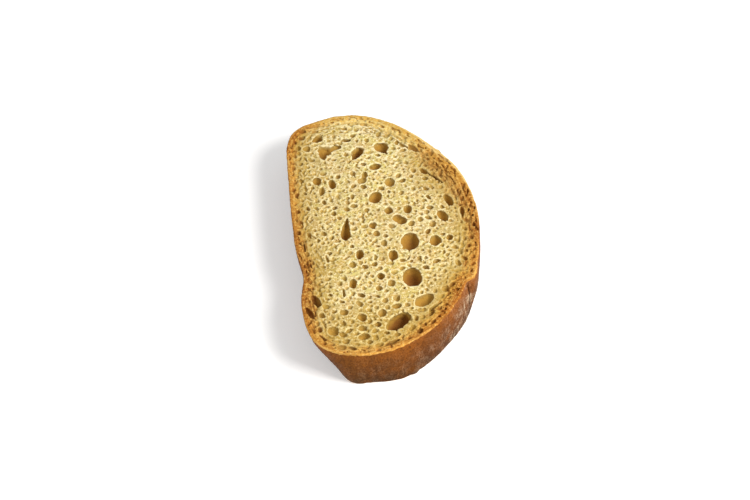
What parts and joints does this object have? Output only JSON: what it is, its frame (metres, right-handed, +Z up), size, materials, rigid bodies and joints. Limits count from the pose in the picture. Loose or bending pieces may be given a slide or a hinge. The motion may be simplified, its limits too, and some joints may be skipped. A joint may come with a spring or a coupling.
{
  "type": "bread slice",
  "caption": "Thick hand-cut slice of an oval country loaf: open pale crumb with round pores, browned crust round the edge, flat base side, lying on a cut face.",
  "frame": {"origin": "under the middle of the slice's outer box, at the level of the cut face it lies on", "axes": "+X from the loaf's flat base to its crown, +Y along the base, +Z up through the slice's thickness"},
  "size_m": [0.086, 0.149, 0.02],
  "materials": {
    "bread": null
  },
  "bodies": {
    "root": {"bread_slice": "bread"}
  },
  "joints": []
}
